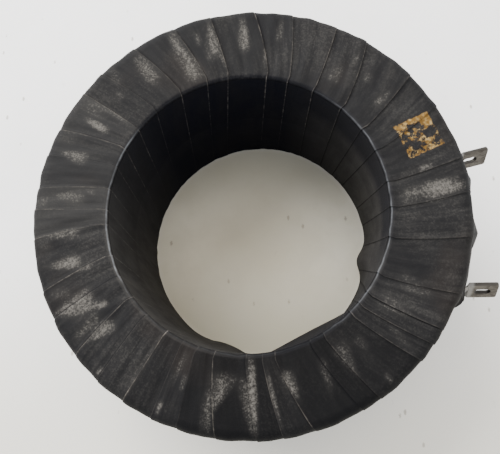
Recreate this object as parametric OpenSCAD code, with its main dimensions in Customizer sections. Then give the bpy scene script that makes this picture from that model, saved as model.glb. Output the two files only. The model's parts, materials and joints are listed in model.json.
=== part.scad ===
// Window-type current transformer: a wound steel strip core with a toroidal
// secondary winding, lapped in black tape, with two slotted strip terminals.
// Origin on the ring's axis in the plane it rests on, +Z up the window,
// +X towards the terminals.  Millimetres.

/* [Ring] */
// Clear diameter of the window, inside the finished tape
window_d = 146; // [130:1:160]
// Outside diameter over the crests of the tape
outer_d = 230; // [222:1:260]
// Height over the tape, from the surface it rests on
height = 116; // [104:1:140]
// Rounding of the two outer rims
rim_r = 6; // [5:0.5:8]
// Rounding of the two rims of the window
window_rim_r = 3; // [2.5:0.5:5]

/* [Outer tape] */
// Turns of tape laid round the ring
laps = 36; // [28:1:42]
// Drop from the edge of one lap to the lap below it
lap_step = 0.6; // [0.3:0.05:0.8]
// Tape left under the lowest point of a lap
tape_wall = 1.2; // [0.9:0.1:1.6]
// Width of the step between two laps, as a part of one lap
step_share = 0.015; // [0.01:0.005:0.04]
// How far the edges on the upper face swing to either side
lap_lean = 6; // [0:0.5:7]
// How unevenly the laps are spaced
lap_scatter = 1.1; // [0:0.1:1.3]
// Height of the swelling over the terminal roots
swell = 8.5; // [8.3:0.1:10]

/* [Winding] */
// Turns of wire in the secondary winding
wire_turns = 80; // [50:1:100]
// Wire diameter over its enamel
wire_d = 2; // [1.4:0.1:2.2]
// Tape over the winding
winding_wrap_t = 0.8; // [0.5:0.1:1]

/* [Core] */
// Tape round the bare core
core_wrap_t = 0.6; // [0.4:0.1:1]
// Board rings on the ends of the core
end_ring_t = 2; // [1:0.1:3]
// Board bands in the bore of the core and round it
band_t = 1; // [0.5:0.1:1.5]
// Bevel on the edges of the strip core
core_bevel = 0.6; // [0.2:0.1:1.5]

/* [Terminals] */
// Width of the terminal strip
strip_w = 12.5; // [10.5:0.5:14]
// Thickness of the terminal strip
strip_t = 2.2; // [1.4:0.1:2.3]
// Height of the terminals' centre line above the base
strip_z = 84.5; // [70:0.5:88]
// Inside radius where the strip bends outwards
strip_bend_r = 0.8; // [0.5:0.1:1]
// Rounding of the tab's free corners
tab_corner_r = 1; // [0.5:0.1:2]
// Straight stretch between the bend and the twist
neck_l = 3.7; // [3.7:0.1:5]
// Length in which the strip is twisted
twist_l = 2.4; // [2:0.1:5]
// Flat tab beyond the twist
tab_l = 14.6; // [14.6:0.1:18]
// Slot from end to end
slot_l = 8.5; // [7:0.1:8.5]
// Width of the slot
slot_w = 4.2; // [3.2:0.1:5.2]
// Slot's outer end from the end of tab S1
s1_slot_margin = 6; // [3:0.1:6]
// Slot's outer end from the end of tab S2
s2_slot_margin = 3.4; // [2.5:0.1:6]
// Board under each terminal leg
pad_t = 0.8; // [0.5:0.1:1]
// Cloth laid over the legs before the last taping
cover_t = 0.5; // [0.3:0.1:0.8]
// Wall of the sleeves on the leads
sleeve_wall = 0.5; // [0.3:0.1:0.6]
// Angle round the ring of the point midway between the leads
leads_az = 2.2; // [1.6:0.1:2.8]
// Angle round the ring of the bend of terminal S1
s1_az = 14.4; // [13.8:0.1:15.5]
// Angle round the ring of the bend of terminal S2
s2_az = -18.9; // [-20.5:0.1:-17.5]
// Direction in which the tab of terminal S1 points
s1_dir = 15.2; // [8:0.1:20]
// Direction in which the tab of terminal S2 points
s2_dir = -0.4; // [-12:0.1:6]
// Rise of the tab of terminal S1
s1_pitch = -7; // [-25:1:10]
// Rise of the tab of terminal S2
s2_pitch = 4; // [-25:1:10]
// Lean of the tab of terminal S1 from lying flat
s1_tilt = 64; // [40:1:90]
// Lean of the tab of terminal S2 from lying flat
s2_tilt = 64; // [40:1:90]

/* [Hidden] */
$fn = 180;

// Clearance between pieces that lie on each other
gap = 0.1;

r_in = window_d / 2;
r_out = outer_d / 2;

// Depths below the crests of the tape, from the outside in
d_cavity = tape_wall + lap_step;
d_wrap = d_cavity + gap;
d_wire_out = d_wrap + winding_wrap_t + 1.5 * gap;
d_wire = d_wire_out + wire_d / 2;
d_core_wrap = d_wire + wire_d / 2 + gap;
d_board = d_core_wrap + core_wrap_t + gap;
d_core_side = d_board + band_t + gap;
d_core_end = d_board + end_ring_t + gap;

// Roundings: the wire's own bend, and the wider ones that clear its chords
wire_bend_r = wire_d;
core_wrap_r = (wire_bend_r + (sqrt(2) / 2 * wire_d) + 2 * gap - 2 * (wire_d / 2 + gap)) / (2 - sqrt(2));
board_r = core_wrap_r - core_wrap_t;

// Radii in the pocket over the terminal roots
r_pad = r_out - d_cavity + gap;
r_leg = r_pad + pad_t + gap;
r_leg_mid = r_leg + strip_t / 2;
r_lead = r_leg + strip_t + gap + wire_d / 2;
r_cover = r_lead + wire_d / 2 + sleeve_wall + 2 * gap;
r_pocket = r_cover + cover_t + gap;
bend_mid_r = strip_bend_r + strip_t / 2;
r_root_pocket = r_leg_mid + bend_mid_r + strip_t / 2 + 3 * gap;
pocket_h = strip_w + 8 * gap;

// Angles round the ring in the pocket
lead_gap_az = 1.2;
leg_start_az = 5;
leg_end_margin_az = 1;
solder_from_az = 5.4;
solder_to_az = 8.6;
lead_end_az = 8.2;
joint_az = (solder_from_az + solder_to_az) / 2;
pocket_end_az = solder_to_az + 0.4;
root_margin_az = 2;

function smooth(x) = x <= 0 ? 0 : x >= 1 ? 1 : x * x * (3 - 2 * x);
function mix(a, b, u) = a + (b - a) * u;
function polar(r, az, z) = [r * cos(az), r * sin(az), z];
function unit(v) = v / norm(v);

// ---------------------------------------------------------------- profiles

// Rounded rectangle in the (radius, height) plane, at a depth below the tape
module ring_section(depth, round_r) {
  x0 = r_in + depth;
  x1 = r_out - depth;
  z0 = depth;
  z1 = height - depth;
  translate([x0 + round_r, z0]) square([x1 - x0 - 2 * round_r, z1 - z0]);
  translate([x0, z0 + round_r]) square([x1 - x0, z1 - z0 - 2 * round_r]);
  for (x = [x0 + round_r, x1 - round_r], z = [z0 + round_r, z1 - round_r])
    translate([x, z]) circle(r = round_r);
}

module ring_solid(depth, round_r) {
  rotate_extrude() ring_section(depth, round_r);
}

// Closed skin of tape round the whole section
module ring_shell(depth, wall, round_r) {
  difference() {
    ring_solid(depth, round_r);
    ring_solid(depth + wall, max(round_r - wall, 0.2));
  }
}

// Part of a ring with a rectangular section, between two angles
module arc_bar(r0, r1, z0, z1, az0, az1) {
  rotate([0, 0, min(az0, az1)])
    rotate_extrude(angle = abs(az1 - az0))
      translate([r0, z0]) square([r1 - r0, z1 - z0]);
}

// ---------------------------------------------------------------- sweeps

// Closed mesh through rings of points, with a cap at each end
module skin(rings) {
  n = len(rings[0]);
  last = len(rings) - 1;
  points = [for (ring = rings) for (p = ring) p];
  sides = [
    for (i = [0 : last - 1]) for (k = [0 : n - 1]) let (
      a = i * n + k,
      b = i * n + (k + 1) % n,
      c = b + n,
      d = a + n)
      each [[c, b, a], [d, c, a]]];
  caps = [[for (k = [0 : n - 1]) k], [for (k = [n - 1 : -1 : 0]) last * n + k]];
  polyhedron(points = points, faces = concat(sides, caps));
}

// ---------------------------------------------------------------- core

module strip_core() {
  x0 = r_in + d_core_side;
  x1 = r_out - d_core_side;
  z0 = d_core_end;
  z1 = height - d_core_end;
  color("slategray")
    rotate_extrude()
      polygon([
        [x0 + core_bevel, z0], [x1 - core_bevel, z0], [x1, z0 + core_bevel], [x1, z1 - core_bevel],
        [x1 - core_bevel, z1], [x0 + core_bevel, z1], [x0, z1 - core_bevel], [x0, z0 + core_bevel]]);
}

// End board: the rounded rim of the section between two heights
module core_ring(z0) {
  color("peru")
    intersection() {
      ring_solid(d_board, board_r);
      translate([0, 0, z0]) cylinder(r = r_out, h = end_ring_t);
    }
}

module core_ring_top() {
  core_ring(height - d_board - end_ring_t);
}

module core_ring_bottom() {
  core_ring(d_board);
}

module core_band(r0) {
  color("burlywood")
    rotate_extrude()
      translate([r0, d_core_end]) square([band_t, height - 2 * d_core_end]);
}

module core_band_inner() {
  core_band(r_in + d_board);
}

module core_band_outer() {
  core_band(r_out - d_board - band_t);
}

module core_wrap() {
  color("ivory") ring_shell(d_core_wrap, core_wrap_t, core_wrap_r);
}

// ---------------------------------------------------------------- winding

wire_sides = 6;
wire_x0 = r_in + d_wire;
wire_x1 = r_out - d_wire;
wire_z0 = d_wire;
wire_z1 = height - d_wire;

// Corners of one turn, from the outer side over the top and back underneath
wire_loop = [
  [wire_x1, wire_z1 - wire_bend_r], [wire_x1 - wire_bend_r, wire_z1],
  [wire_x0 + wire_bend_r, wire_z1], [wire_x0, wire_z1 - wire_bend_r],
  [wire_x0, wire_z0 + wire_bend_r], [wire_x0 + wire_bend_r, wire_z0],
  [wire_x1 - wire_bend_r, wire_z0], [wire_x1, wire_z0 + wire_bend_r]];

// Share of a turn that is laid at each of those corners
wire_share = [0.09, 0.11, 0.24, 0.26, 0.62, 0.64, 0.77, 0.79];

wire_first_az = leads_az + lead_gap_az;
wire_travel = 360 - 2 * lead_gap_az;

wire_turn_points = [
  for (turn = [0 : wire_turns - 1]) for (k = [0 : 7])
    polar(wire_loop[k][0], wire_first_az + wire_travel * (turn + wire_share[k]) / wire_turns, wire_loop[k][1])];

// From the winding out through the wrap and along the terminal leg
function lead_points(az, side) = [
  polar(wire_x1, az, strip_z),
  polar(wire_x1 + wire_d * 0.6, az, strip_z),
  polar(r_lead - wire_d * 0.4, az, strip_z),
  for (a = [0.7, 1.8, 3.6, 5.4, lead_end_az - lead_gap_az]) polar(r_lead, az + side * a, strip_z)];

function reversed(list) = [for (i = [len(list) - 1 : -1 : 0]) list[i]];

wire_path = concat(
  reversed(lead_points(wire_first_az, 1)),
  wire_turn_points,
  lead_points(wire_first_az + wire_travel, -1));

// Direction away from the core at a point of the wire
function away(p) = let (
  r = norm([p[0], p[1]]),
  u = (r - (wire_x0 + wire_x1) / 2) / (wire_x1 - wire_x0),
  v = (p[2] - height / 2) / (wire_z1 - wire_z0))
  [u * p[0] / r, u * p[1] / r, v];

function wire_ring(i) = let (
  last = len(wire_path) - 1,
  p = wire_path[i],
  before = i == 0 ? wire_path[1] - p : p - wire_path[i - 1],
  after = i == last ? before : wire_path[i + 1] - p,
  t = unit(unit(before) + unit(after)),
  side = unit(cross(t, away(p))),
  up = cross(side, t))
  [for (k = [0 : wire_sides - 1]) let (a = 360 * (k + 0.5) / wire_sides)
    p + wire_d / 2 * (cos(a) * up + sin(a) * side)];

module secondary_winding() {
  color("chocolate") skin([for (i = [0 : len(wire_path) - 1]) wire_ring(i)]);
}

// Tape over the winding, with a window where the leads come through
module winding_wrap() {
  lead_window = [6 * winding_wrap_t, 3 * lead_gap_az * PI / 180 * r_out + wire_d, 2 * wire_d];
  color("wheat")
    difference() {
      ring_shell(d_wrap, winding_wrap_t, rim_r - d_wrap);
      rotate([0, 0, leads_az])
        translate([r_out - d_wrap, 0, strip_z]) cube(lead_window, center = true);
    }
}

// ---------------------------------------------------------------- terminals

module lead_sleeve(side) {
  az0 = leads_az + side * (lead_gap_az + 1);
  az1 = leads_az + side * (leg_start_az - 0.3);
  color("darkgoldenrod")
    rotate([0, 0, min(az0, az1)])
      rotate_extrude(angle = abs(az1 - az0))
        translate([r_lead, strip_z])
          difference() {
            circle(r = wire_d / 2 + gap + sleeve_wall, $fn = 32);
            circle(r = wire_d / 2 + gap, $fn = 32);
          }
}

module lead_sleeve_s1() {
  lead_sleeve(1);
}

module lead_sleeve_s2() {
  lead_sleeve(-1);
}

module terminal_pad(side, bend_az) {
  color("sienna")
    arc_bar(r_pad, r_pad + pad_t, strip_z - pocket_h / 2 + gap, strip_z + pocket_h / 2 - gap,
      leads_az + side * (leg_start_az - 1), bend_az + side * leg_end_margin_az);
}

module terminal_pad_s1() {
  terminal_pad(1, s1_az);
}

module terminal_pad_s2() {
  terminal_pad(-1, s2_az);
}

// A terminal's settings: [angle round the ring, side of the leads, tab's direction, rise, lean, slot margin]
s1 = [s1_az, 1, s1_dir, s1_pitch, s1_tilt, s1_slot_margin];
s2 = [s2_az, -1, s2_dir, s2_pitch, s2_tilt, s2_slot_margin];

// Stations along a terminal: [centre, direction in plan, rise, lean of the width, narrowing at each edge]
function leg_stations(t) = [
  for (u = [0 : 0.25 : 1]) let (az = mix(leads_az + t[1] * leg_start_az, t[0], u))
    [polar(r_leg_mid, az, strip_z), az + t[1] * 90, 0, 90, 0]];

function bend_stations(t) = let (
  start_dir = t[0] + t[1] * 90,
  centre = polar(r_leg_mid + bend_mid_r, t[0], strip_z))
  [for (u = [0.25 : 0.25 : 1]) let (d = mix(start_dir, t[2], u), across = d + t[1] * 90)
    [centre + bend_mid_r * [cos(across), sin(across), 0], d, 0, 90, 0]];

function heading(d, rise) = [cos(d) * cos(rise), sin(d) * cos(rise), sin(rise)];

// From the end of the bend: straight neck, then the twist, then the flat tab with its corners rounded
function tab_stations(t) = let (
  neck_end = bend_stations(t)[3][0] + heading(t[2], 0) * neck_l,
  twist_end = neck_end + heading(t[2], t[3] / 2) * twist_l)
  concat(
    [for (u = [0 : 0.25 : 1])
      [neck_end + heading(t[2], t[3] * u / 2) * twist_l * u, t[2], t[3] * smooth(u), mix(90, t[4], smooth(u)), 0]],
    [for (a = [0 : 22.5 : 90])
      [twist_end + heading(t[2], t[3]) * (tab_l - tab_corner_r * (1 - sin(a))), t[2], t[3], t[4],
        tab_corner_r * (1 - cos(a))]]);

// Rectangle across the strip with its long edges eased
function strip_section(station) = let (
  out = heading(station[1], station[2]),
  level = [-sin(station[1]), cos(station[1]), 0],
  w = cos(station[3]) * level + sin(station[3]) * cross(out, level),
  n = cross(out, w),
  e = strip_t / 5,
  hw = strip_w / 2 - station[4],
  ht = strip_t / 2)
  [for (q = [[hw - e, ht], [-hw + e, ht], [-hw, ht - e], [-hw, e - ht],
             [e - hw, -ht], [hw - e, -ht], [hw, e - ht], [hw, ht - e]])
    station[0] + q[0] * w + q[1] * n];

// Places its children on a tab: X along it, Y across it, Z off its face, measured back from its end
module on_tab(t, back) {
  stations = tab_stations(t);
  end = stations[len(stations) - 1][0];
  translate(end) rotate([0, 0, t[2]]) rotate([0, -t[3], 0]) rotate([t[4], 0, 0]) translate([-back, 0, 0]) children();
}

module slot_cutter() {
  linear_extrude(height = 4 * strip_t, center = true) {
    for (end = [-1, 1]) translate([end * (slot_l - slot_w) / 2, 0]) circle(d = slot_w);
    square([slot_l - slot_w, slot_w], center = true);
  }
}

module terminal(t) {
  color("lightgray")
    difference() {
      skin([for (s = concat(leg_stations(t), bend_stations(t), tab_stations(t))) strip_section(s)]);
      on_tab(t, t[5] + slot_l / 2) slot_cutter();
    }
}

module terminal_s1() {
  terminal(s1);
}

module terminal_s2() {
  terminal(s2);
}

// Run of solder that beds the end of a lead on its leg
module solder(side) {
  r0 = r_leg + strip_t + gap / 4;
  az0 = leads_az + side * solder_from_az;
  az1 = leads_az + side * solder_to_az;
  color("silver")
    rotate([0, 0, min(az0, az1)])
      rotate_extrude(angle = abs(az1 - az0))
        difference() {
          intersection() {
            translate([r0, strip_z - 1.6 * wire_d]) square([0.6 * wire_d, 3.2 * wire_d]);
            translate([r0 - 1.4 * wire_d, strip_z]) circle(r = 2 * wire_d);
          }
          translate([r_lead, strip_z]) circle(r = wire_d / 2 + gap / 4, $fn = 32);
        }
}

module solder_s1() {
  solder(1);
}

module solder_s2() {
  solder(-1);
}

// Cloth over both leads and the inner ends of the legs
module terminal_cover() {
  color("darkkhaki")
    arc_bar(r_cover, r_cover + cover_t, strip_z - strip_w / 2, strip_z + strip_w / 2,
      leads_az - solder_to_az, leads_az + solder_to_az);
}

// ---------------------------------------------------------------- outer tape

pitch_az = 360 / laps;
bore_run = 0.5;
base_run = 0.4;

// Points round the section, from the middle of the underside out, up, in and down:
// [radius, height, outward radius, outward height, share of the lap relief]
function rim(r, cx, cz, a0, shares) = [
  for (i = [0 : 3]) let (a = a0 + 30 * i)
    [cx + r * cos(a), cz + r * sin(a), cos(a), sin(a), shares[i]]];

tape_x0 = r_in - bore_run;
tape_z0 = -base_run;
side_levels = [
  0.3 * strip_z, strip_z - 2.6 * strip_w, strip_z - 1.4 * strip_w, strip_z - 0.7 * strip_w,
  strip_z, strip_z + 0.6 * strip_w, strip_z + 1.2 * strip_w];

tape_section = concat(
  [[(tape_x0 + r_out) / 2, tape_z0, 0, -1, 0]],
  rim(rim_r, r_out - rim_r, tape_z0 + rim_r, -90, [0, 0.5, 1, 1]),
  [for (z = side_levels) [r_out, z, 1, 0, 1]],
  rim(rim_r, r_out - rim_r, height - rim_r, 0, [1, 1, 1, 1]),
  [[(tape_x0 + r_out) / 2, height, 0, 1, 1]],
  rim(window_rim_r, tape_x0 + window_rim_r, height - window_rim_r, 90, [1, 1, 0, 0]),
  [[tape_x0, height / 2, -1, 0, 0]],
  rim(window_rim_r, tape_x0 + window_rim_r, tape_z0 + window_rim_r, 180, [0, 0, 0, 0]));

section_count = len(tape_section);
section_step = [
  for (m = [0 : section_count - 1]) let (
    a = tape_section[m],
    b = tape_section[(m + 1) % section_count])
    norm([b[0] - a[0], b[1] - a[1]])];
function sum_to(list, m) = m <= 0 ? 0 : list[m - 1] + sum_to(list, m - 1);
section_length = sum_to(section_step, section_count);
section_share = [for (m = [0 : section_count - 1]) sum_to(section_step, m) / section_length];

// Repeatable scatter between -1 and 1 for each lap
function scatter(j, seed) = let (k = ((j % laps) + laps) % laps)
  0.6 * sin(137.5 * k + seed) + 0.4 * sin(61 * k + 2.3 * seed);
function scatter_at(t, seed) = let (j = floor(t)) mix(scatter(j, seed), scatter(j + 1, seed), t - j);

// Where the edge of the tape lies after t turns: it gains one pitch a turn, runs
// back across the upper face and forward down the window
function drift(s) = pitch_az * lookup(s, [[0, 0], [0.06, 0.25], [0.42, 0.6], [0.55, 0.25], [0.92, 0.85], [1, 1]]);
function swing(s) = lookup(s, [[0, 0], [0.2, 0], [0.42, -0.5], [0.55, 0.5], [0.75, 0], [1, 0]]);
function edge_az(t) = let (j = floor(t), s = t - j)
  pitch_az * j + drift(s) + lap_scatter * scatter_at(t, 20) + lap_lean * scatter_at(t, 80) * swing(s);

// Swelling over the terminal roots, round the ring and up its side: highest over the two soldered joints
function swell_round(az) = let (a = az > 180 ? az - 360 : az)
  lookup(a, [
    [s2_az - 4 * root_margin_az, 0], [s2_az - root_margin_az - 0.5, 0.66],
    [leads_az - pocket_end_az - root_margin_az, 0.72], [leads_az - joint_az, 1],
    [leads_az - joint_az / 2, 0.8], [leads_az + joint_az / 2, 0.8],
    [leads_az + joint_az, 1], [leads_az + pocket_end_az + 0.5, 0.82],
    [s1_az, 0.66], [s1_az + root_margin_az + 0.5, 0.66], [s1_az + 4 * root_margin_az, 0]]);
function swell_up(z) = lookup(z, [
  [strip_z - 2.6 * strip_w, 0], [strip_z - 1.4 * strip_w, 0.5], [strip_z - 0.7 * strip_w, 1],
  [strip_z + 0.6 * strip_w, 1], [strip_z + 1.2 * strip_w, 0.45], [height - rim_r, 0.1], [height, 0]]);

lap_parts = [0, 0.5, 1 - step_share];
lap_depth = [0, 0, lap_step];

function tape_point(lap, part, m) = let (
  q = tape_section[m],
  t = lap + section_share[m],
  az = mix(edge_az(t), edge_az(t + 1), lap_parts[part]),
  turn = az - 360 * floor(az / 360),
  lift = swell * swell_round(turn) * swell_up(q[1]) * max(q[2], 0) - q[4] * lap_depth[part])
  polar(q[0] + lift * q[2], az, q[1] + (q[3] > 0 ? -q[4] * lap_depth[part] * q[3] : 0));

tape_rings = 3 * laps;
tape_points = [
  for (lap = [0 : laps - 1]) for (part = [0 : 2]) for (m = [0 : section_count - 1])
    tape_point(lap, part, m)];
// Going once round the section carries a ring on by one lap
function tape_index(i, m) = m < section_count
  ? (i % tape_rings) * section_count + m
  : ((i + 3) % tape_rings) * section_count + m - section_count;
tape_faces = [
  for (i = [0 : tape_rings - 1]) for (m = [0 : section_count - 1]) let (
    a = tape_index(i, m),
    b = tape_index(i, m + 1),
    c = tape_index(i + 1, m + 1),
    d = tape_index(i + 1, m))
    each [[a, b, c], [a, c, d]]];

// The way out through the tape for the neck of a terminal
module neck_slit(t) {
  translate(bend_stations(t)[3][0]) rotate([0, 0, t[2]])
    translate([0, -strip_t / 2 - gap, -strip_w / 2 - gap])
      cube([3 * neck_l, strip_t + 2 * gap, strip_w + 2 * gap]);
}

module outer_tape() {
  z0 = strip_z - pocket_h / 2;
  z1 = strip_z + pocket_h / 2;
  color("dimgray")
    difference() {
      polyhedron(points = tape_points, faces = tape_faces);
      translate([0, 0, -height]) cylinder(r = 2 * r_out, h = height);
      translate([0, 0, -1]) cylinder(r = r_in, h = height + 2);
      ring_solid(d_cavity, rim_r - d_cavity);
      arc_bar(r_out - d_cavity - 1, r_root_pocket, z0, z1, s2_az - root_margin_az, s1_az + root_margin_az);
      arc_bar(r_root_pocket - gap, r_pocket, z0 + gap, z1 - gap,
        leads_az - pocket_end_az, leads_az + pocket_end_az);
      neck_slit(s1);
      neck_slit(s2);
    }
}

strip_core();
core_ring_top();
core_ring_bottom();
core_band_inner();
core_band_outer();
core_wrap();
secondary_winding();
winding_wrap();
lead_sleeve_s1();
lead_sleeve_s2();
terminal_pad_s1();
terminal_pad_s2();
terminal_s1();
terminal_s2();
solder_s1();
solder_s2();
terminal_cover();
outer_tape();
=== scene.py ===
"""Looks of the tape-wound ring current transformer: its lapped black tape, tinned strips and inner layers."""

import json
import logging
import math
from dataclasses import dataclass, field
from enum import Enum
from typing import Any, Sequence

import bpy
import numpy as np
from mathutils import Matrix, Vector


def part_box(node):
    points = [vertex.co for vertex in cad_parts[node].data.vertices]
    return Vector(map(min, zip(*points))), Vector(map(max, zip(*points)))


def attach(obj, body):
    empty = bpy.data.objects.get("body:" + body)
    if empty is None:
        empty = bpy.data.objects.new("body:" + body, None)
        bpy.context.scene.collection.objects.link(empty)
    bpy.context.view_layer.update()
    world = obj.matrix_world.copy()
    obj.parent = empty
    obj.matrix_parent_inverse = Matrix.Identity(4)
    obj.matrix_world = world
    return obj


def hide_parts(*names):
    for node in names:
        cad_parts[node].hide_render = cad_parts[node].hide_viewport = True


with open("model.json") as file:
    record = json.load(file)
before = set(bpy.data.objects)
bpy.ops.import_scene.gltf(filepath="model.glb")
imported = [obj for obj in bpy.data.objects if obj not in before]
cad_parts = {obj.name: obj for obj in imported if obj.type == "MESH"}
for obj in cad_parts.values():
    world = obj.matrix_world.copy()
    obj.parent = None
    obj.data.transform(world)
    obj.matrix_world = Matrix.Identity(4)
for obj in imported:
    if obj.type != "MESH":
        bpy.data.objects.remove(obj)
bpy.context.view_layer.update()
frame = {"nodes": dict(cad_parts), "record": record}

log = logging.getLogger("current_transformer")

Colour = tuple[float, float, float]
Place = tuple[float, float, float]
Grid = dict[str, np.ndarray]
Socket = bpy.types.NodeSocket

MM = 0.001
# How far the tape's section runs inside the window's wall, in millimetres, so that a lap can fall and still reach it.
WALL_ROOM = 0.5


def wrapped(angle: np.ndarray) -> np.ndarray:
    """Returns angles in degrees brought between -180 and 180."""
    return np.mod(angle + 180, 360) - 180


def unit(value: np.ndarray) -> np.ndarray:
    """Returns values held between 0 and 1."""
    return np.clip(value, 0, 1)


def bell(value: np.ndarray) -> np.ndarray:
    """Returns exp(-x*x), which is 1 at 0 and falls off on both sides."""
    return np.exp(-(value**2))


def fade(value: np.ndarray) -> np.ndarray:
    """Returns the S-curve 1 / (1 + exp(x)), which falls from 1 to 0 as x passes 0."""
    return 0.5 - 0.5 * np.tanh(value / 2)


@dataclass(frozen=True)
class Knots:
    """A value that goes straight from knot to knot: the places of the knots and the values there."""

    places: tuple[float, ...]
    values: tuple[float, ...]

    def at(self, place: np.ndarray) -> np.ndarray:
        """Returns the value at each place."""
        return np.interp(place, self.places, self.values)


class Slot(Enum):
    """Material slots that the record names."""

    TAPE = "tape"
    TERMINALS = "terminals"
    SOLDER = "solder"
    COPPER = "copper"
    COTTON = "cotton"
    SLEEVE = "sleeve"
    BOARD = "board"
    CORE = "core"


# ------------------------------------------------------------------ node trees


class Graph:
    """A material's node tree, built by naming each node's inputs."""

    def __init__(self, name: str) -> None:
        """Starts an empty material.

        Args:
            name: The material's name.
        """
        self.material = bpy.data.materials.new(name)
        self.material.use_nodes = True
        self.tree = self.material.node_tree
        self.tree.nodes.clear()
        self.numbers: dict[str, Socket] = {}

    def add(self, kind: str, inputs: dict[Any, Any] | None = None, **settings: Any) -> bpy.types.Node:
        """Adds one node.

        Args:
            kind: The node's type name without its ShaderNode prefix.
            inputs: Values or sockets, by input name or number.
            settings: Attributes of the node itself.

        Returns:
            The new node.
        """
        node = self.tree.nodes.new("ShaderNode" + kind)
        for key, value in settings.items():
            setattr(node, key, value)
        for key, value in (inputs or {}).items():
            if isinstance(value, Socket):
                self.tree.links.new(value, node.inputs[key])
            else:
                node.inputs[key].default_value = value
        return node

    def math(self, operation: str, *values: Any) -> Socket:
        """Returns the result of one Math node on the values."""
        return self.add("Math", dict(enumerate(values)), operation=operation).outputs[0]

    def chain(self, operation: str, first: Any, *others: Any) -> Socket:
        """Returns the result of the operation on the first value and each of the others in turn.

        Args:
            operation: The Math node's operation.
            first: The value to start from.
            others: The values to bring in.

        Returns:
            The last result.
        """
        for other in others:
            first = self.math(operation, first, other)
        return first

    def times(self, *values: Any) -> Socket:
        """Returns the product of the values."""
        return self.chain("MULTIPLY", *values)

    def plus(self, *values: Any) -> Socket:
        """Returns the sum of the values."""
        return self.chain("ADD", *values)

    def weighted(self, *parts: tuple[Socket, float]) -> Socket:
        """Returns the sum of the values times their weights."""
        return self.plus(*(self.times(value, weight) for value, weight in parts))

    def noise(self, vector: Any, scale: float, detail: float = 4.0, rough: float = 0.55) -> Socket:
        """Returns a noise value between 0 and 1 over a coordinate."""
        inputs = {"Vector": vector, "Scale": scale, "Detail": detail, "Roughness": rough}
        return self.add("TexNoise", inputs).outputs["Fac"]

    def cells(self, vector: Any, scale: float) -> tuple[Socket, Socket]:
        """Scatters points over a coordinate.

        Args:
            vector: The coordinate.
            scale: Points in a length of 1.

        Returns:
            The distance to the nearest point, and that point's own random number from 0 to 1.
        """
        node = self.add("TexVoronoi", {"Vector": vector, "Scale": scale, "Randomness": 1.0}, feature="F1")
        parts = self.add("SeparateColor", {0: node.outputs["Color"]})
        return node.outputs["Distance"], parts.outputs[0]

    def object_place(self) -> Socket:
        """Returns the place on the object, in metres."""
        return self.add("TexCoord").outputs["Object"]

    def stretched(self, vector: Any, scale: Sequence[float]) -> Socket:
        """Returns a coordinate multiplied by a different factor along each axis."""
        return self.add("Mapping", {"Vector": vector, "Scale": tuple(scale)}).outputs[0]

    def number(self, name: str) -> Socket:
        """Returns a number kept on the mesh's points, from one node for each name."""
        if name not in self.numbers:
            self.numbers[name] = self.add("Attribute", attribute_name=name).outputs["Fac"]
        return self.numbers[name]

    def step(self, value: Any, low: float, high: float, to_low: float = 0.0, to_high: float = 1.0) -> Socket:
        """Returns a smooth rise from to_low to to_high as the value goes from low to high."""
        inputs = {"Value": value, "From Min": low, "From Max": high, "To Min": to_low, "To Max": to_high}
        return self.add("MapRange", inputs, interpolation_type="SMOOTHSTEP").outputs["Result"]

    def blend(self, share: Any, first: Any, second: Any) -> Socket:
        """Mixes two colours.

        Args:
            share: How much of the second colour shows, from 0 to 1.
            first: A colour or its socket.
            second: The other colour or its socket.

        Returns:
            The mixed colour.
        """
        whole = [value if isinstance(value, Socket) else (*value, 1.0) for value in (first, second)]
        return self.add("Mix", {0: share, 6: whole[0], 7: whole[1]}, data_type="RGBA").outputs[2]

    def bump(self, height: Any, distance: float, strength: float = 1.0, normal: Any = None) -> Socket:
        """Bends the normal by a height.

        Args:
            height: The height, from 0 to 1.
            distance: What a height of 1 stands for, in metres.
            strength: How much of the bend shows.
            normal: The normal to bend further, if there is one.

        Returns:
            The bent normal.
        """
        inputs = {"Height": height, "Distance": distance, "Strength": strength}
        if normal is not None:
            inputs["Normal"] = normal
        return self.add("Bump", inputs).outputs["Normal"]

    def finish(self, **sockets: Any) -> bpy.types.Material:
        """Ends the material with one Principled shader.

        Args:
            sockets: The shader's inputs, with underscores for spaces.

        Returns:
            The finished material.
        """
        inputs = {key.replace("_", " "): value for key, value in sockets.items()}
        shader = self.add("BsdfPrincipled", inputs)
        self.add("OutputMaterial", {"Surface": shader.outputs[0]})
        return self.material


class TapeGraph(Graph):
    """The tape's node tree, with the noises that its layers share.

    patches are broad, streaks run along the tape, broken lies across it and breaks up the lines at its edges, and
    clumps and grain carry the dust.
    """

    def __init__(self, name: str) -> None:
        """Starts the material with its noises.

        Args:
            name: The material's name.
        """
        super().__init__(name)
        self.place = self.object_place()
        self.along = self.add("UVMap", uv_map="tape_run").outputs[0]
        self.patches = self.noise(self.place, 26.0, 4.0, 0.6)
        self.streaks = self.noise(self.stretched(self.along, (1.0, 0.10, 1.0)), 300.0, 5.0, 0.65)
        self.broken = self.noise(self.stretched(self.along, (0.2, 1.0, 1.0)), 190.0, 4.0, 0.7)
        self.grain = self.noise(self.place, 1300.0, 2.0, 0.6)
        self.clumps = self.noise(self.place, 520.0, 4.0, 0.75)


# ------------------------------------------------------------------ finishes


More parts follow.
